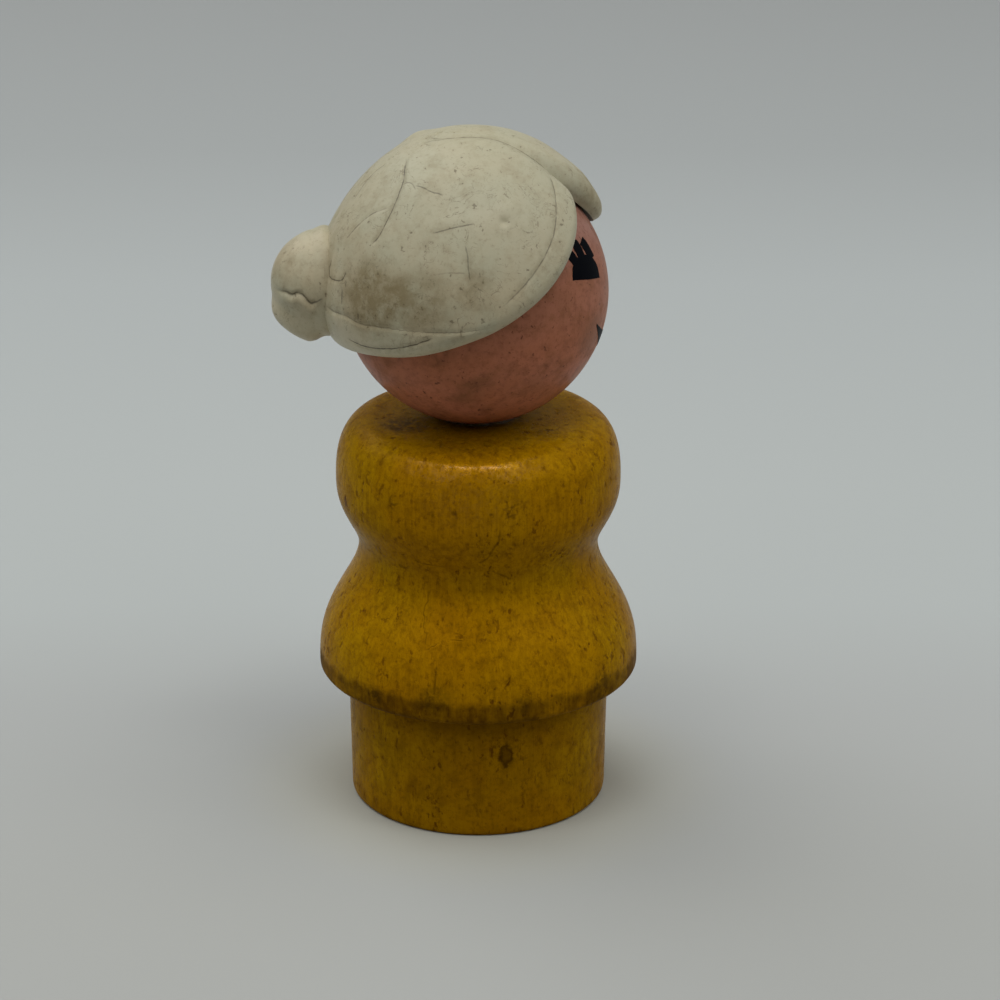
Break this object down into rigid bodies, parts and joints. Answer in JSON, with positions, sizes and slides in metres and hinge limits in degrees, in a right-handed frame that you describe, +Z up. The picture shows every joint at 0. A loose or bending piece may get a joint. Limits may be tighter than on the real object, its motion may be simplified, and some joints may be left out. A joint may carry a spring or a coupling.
{
  "type": "wooden toy figure",
  "caption": "Small turned wooden toy figure: waisted yellow body on a round base, pink ball head that swivels on a drive pin, and a white moulded hair cap with a bun.",
  "frame": {"origin": "centre of the flat underside of the base", "axes": "+Z up the body's axis, -Y the way the face looks at rest, +X the figure's left"},
  "size_m": [0.0274, 0.0314, 0.0597],
  "materials": {
    "body_paint": "yellow gloss paint worn over turned hardwood",
    "face_paint": "pink satin paint over a turned wooden ball",
    "hair_vinyl": "off-white moulded vinyl, scuffed and grimy",
    "pin_steel": "bright drawn steel"
  },
  "bodies": {
    "body": {"body": "body_paint", "neck_pin": "pin_steel"},
    "head": {"head": "face_paint", "hair": "hair_vinyl"}
  },
  "joints": [
    {"name": "head_swivel", "type": "hinge", "parent": "body", "child": "head", "pos_m": [0, 0, 0.0346], "axis": [0, 0, 1], "continuous": true}
  ]
}
